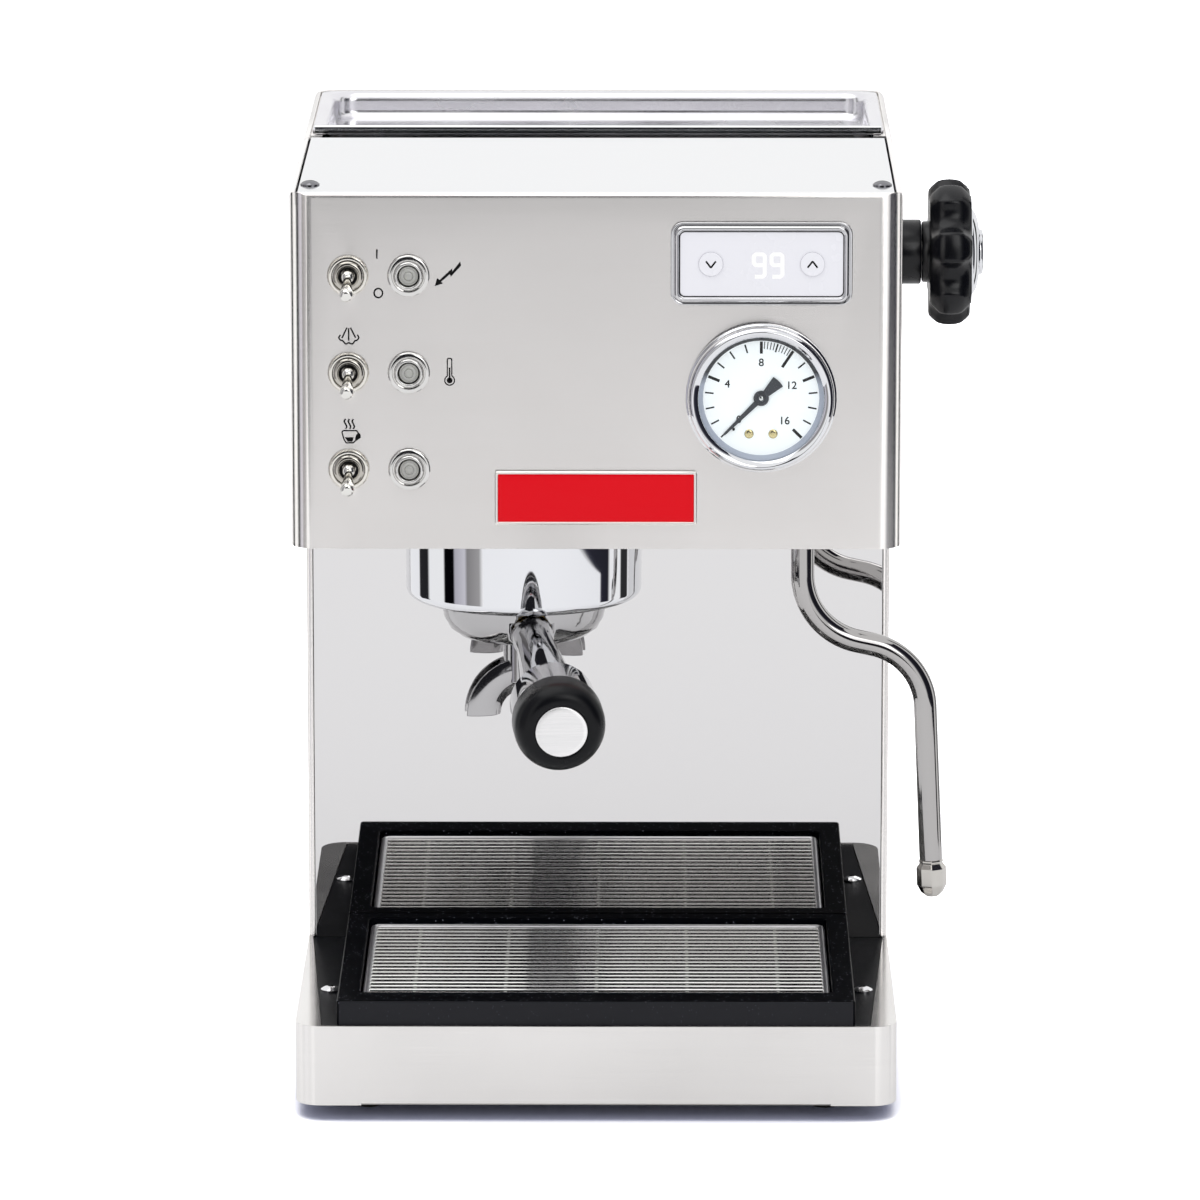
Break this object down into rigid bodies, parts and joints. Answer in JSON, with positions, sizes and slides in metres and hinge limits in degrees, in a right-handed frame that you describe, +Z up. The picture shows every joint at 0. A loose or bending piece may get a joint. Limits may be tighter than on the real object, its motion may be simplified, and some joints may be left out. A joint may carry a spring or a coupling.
{
  "type": "espresso machine",
  "caption": "Steel espresso machine with a boxed head over a drip tray, bayonet filter holder, swivel steam wand, side knob, toggles, lamps, display, pressure gauge and lift-out water tank.",
  "frame": {"origin": "on the counter under the middle of the whole outline, with knob and handle counted", "axes": "+Z up, -Y the front where the filter holder points, +X the side with the steam knob"},
  "size_m": [0.263, 0.3221, 0.3613],
  "materials": {
    "brushed_casing": "stainless sheet, fine horizontal brushing",
    "polished_sheet": "stainless sheet, near-mirror satin",
    "chrome_part": "bright chrome plating",
    "inner_steel": "plain stainless, unpolished",
    "powder_black": "black powder coat, fine grain",
    "black_plastic": "black moulded plastic, semi-gloss",
    "dark_plastic": "dark moulded plastic, matt",
    "white_plastic": "white acrylic panel",
    "tank_plastic": "smoky clear plastic, smooth",
    "black_rubber": "moulded rubber",
    "brass_part": "machined brass",
    "copper_pipe": "drawn copper tube",
    "ptfe": "turned PTFE",
    "lens": "clear moulded lens",
    "window_glass": "flat clear glass",
    "dial_white": "white enamelled dial",
    "needle_black": "black painted needle",
    "badge_red": "red enamel in a bright border",
    "board_green": "circuit board"
  },
  "bodies": {
    "machine": {"base_shell": "brushed_casing", "base_plate": "powder_black", "bottom_cover": "inner_steel", "feet": "black_rubber", "column_panel": "polished_sheet", "body_casing": "brushed_casing", "front_panel": "brushed_casing", "box_floor": "brushed_casing", "top_cover": "polished_sheet", "casing_screws": "chrome_part", "tank_shelf": "inner_steel", "tank_socket": "black_rubber", "group_bell": "chrome_part", "group_head": "brass_part", "boiler": "brass_part", "boiler_bolts": "inner_steel", "group_gasket": "black_rubber", "shower_screen": "inner_steel", "shower_screw": "inner_steel", "pump": "dark_plastic", "pump_mounts": "black_rubber", "solenoid_valve": "dark_plastic", "steam_valve": "brass_part", "knob_collar": "black_plastic", "pipework": "copper_pipe", "wand_socket": "brass_part", "switch_bodies": "inner_steel", "switch_nuts": "chrome_part", "lamp_bezels": "chrome_part", "lamp_lenses": "lens", "display_bezel": "chrome_part", "display_panel": "white_plastic", "control_board": "board_green", "gauge_case": "chrome_part", "gauge_dial": "dial_white", "gauge_glass": "window_glass", "badge": "badge_red", "cord_gland": "dark_plastic"},
    "steam_knob": {"steam_spindle": "inner_steel", "steam_knob": "black_plastic", "knob_cap": "chrome_part"},
    "wand_swivel": {"wand_seat": "ptfe"},
    "steam_wand": {"steam_wand": "chrome_part", "steam_nozzle": "chrome_part"},
    "power_lever": {"lever_power": "chrome_part"},
    "steam_lever": {"lever_steam": "chrome_part"},
    "brew_lever": {"lever_brew": "chrome_part"},
    "down_button": {"button_down": "white_plastic"},
    "up_button": {"button_up": "white_plastic"},
    "gauge_needle": {"gauge_needle": "needle_black"},
    "portafilter": {"portafilter_body": "chrome_part", "filter_basket": "inner_steel", "spout": "chrome_part", "handle_neck": "chrome_part", "handle_grip": "black_plastic", "handle_disc": "polished_sheet"},
    "drip_tray": {"drip_tray": "powder_black"},
    "drip_grille": {"drip_grille": "inner_steel"},
    "water_tank": {"water_tank": "tank_plastic"},
    "tank_lid": {"tank_lid": "polished_sheet"}
  },
  "joints": [
    {"name": "power_toggle", "type": "hinge", "parent": "machine", "child": "power_lever", "pos_m": [-0.1093, -0.11098, 0.3278], "axis": [-1, 0, 0], "range_deg": [0, 34]},
    {"name": "steam_toggle", "type": "hinge", "parent": "machine", "child": "steam_lever", "pos_m": [-0.1093, -0.11098, 0.2909], "axis": [-1, 0, 0], "range_deg": [0, 34]},
    {"name": "brew_toggle", "type": "hinge", "parent": "machine", "child": "brew_lever", "pos_m": [-0.1093, -0.11098, 0.254], "axis": [-1, 0, 0], "range_deg": [0, 34]},
    {"name": "down_press", "type": "slide", "parent": "machine", "child": "down_button", "axis": [0, 1, 0], "range_m": [0, 0.0006], "stiffness_N_per_m": 800},
    {"name": "up_press", "type": "slide", "parent": "machine", "child": "up_button", "axis": [0, 1, 0], "range_m": [0, 0.0006], "stiffness_N_per_m": 800},
    {"name": "needle_turn", "type": "hinge", "parent": "machine", "child": "gauge_needle", "pos_m": [0.0455, -0.11048, 0.2817], "axis": [0, 1, 0], "range_deg": [0, 270], "stiffness_Nm_per_rad": 0.001},
    {"name": "steam_valve_turn", "type": "hinge", "parent": "machine", "child": "steam_knob", "pos_m": [0.1105, -0.03198, 0.3243], "axis": [1, 0, 0], "range_deg": [0, 540]},
    {"name": "wand_swing", "type": "hinge", "parent": "machine", "child": "wand_swivel", "pos_m": [0.0629, -0.03198, 0.2367], "axis": [0, 0, 1], "range_deg": [-120, 35]},
    {"name": "wand_tilt", "type": "hinge", "parent": "wand_swivel", "child": "steam_wand", "pos_m": [0.0629, -0.03198, 0.2367], "axis": [0, -1, 0], "range_deg": [-2, 8]},
    {"name": "portafilter_turn", "type": "hinge", "parent": "machine", "child": "portafilter", "pos_m": [-0.0449, -0.01998, 0.2004], "axis": [0, 0, 1], "range_deg": [-45, 0]},
    {"name": "tray_lift", "type": "slide", "parent": "machine", "child": "drip_tray", "axis": [0, 0, 1], "range_m": [0, 0.045]},
    {"name": "grille_lift", "type": "slide", "parent": "drip_tray", "child": "drip_grille", "axis": [0, 0, 1], "range_m": [0, 0.04]},
    {"name": "tank_lift", "type": "slide", "parent": "machine", "child": "water_tank", "axis": [0, 0, 1], "range_m": [0, 0.2]},
    {"name": "lid_lift", "type": "slide", "parent": "water_tank", "child": "tank_lid", "axis": [0, 0, 1], "range_m": [0, 0.06]}
  ]
}
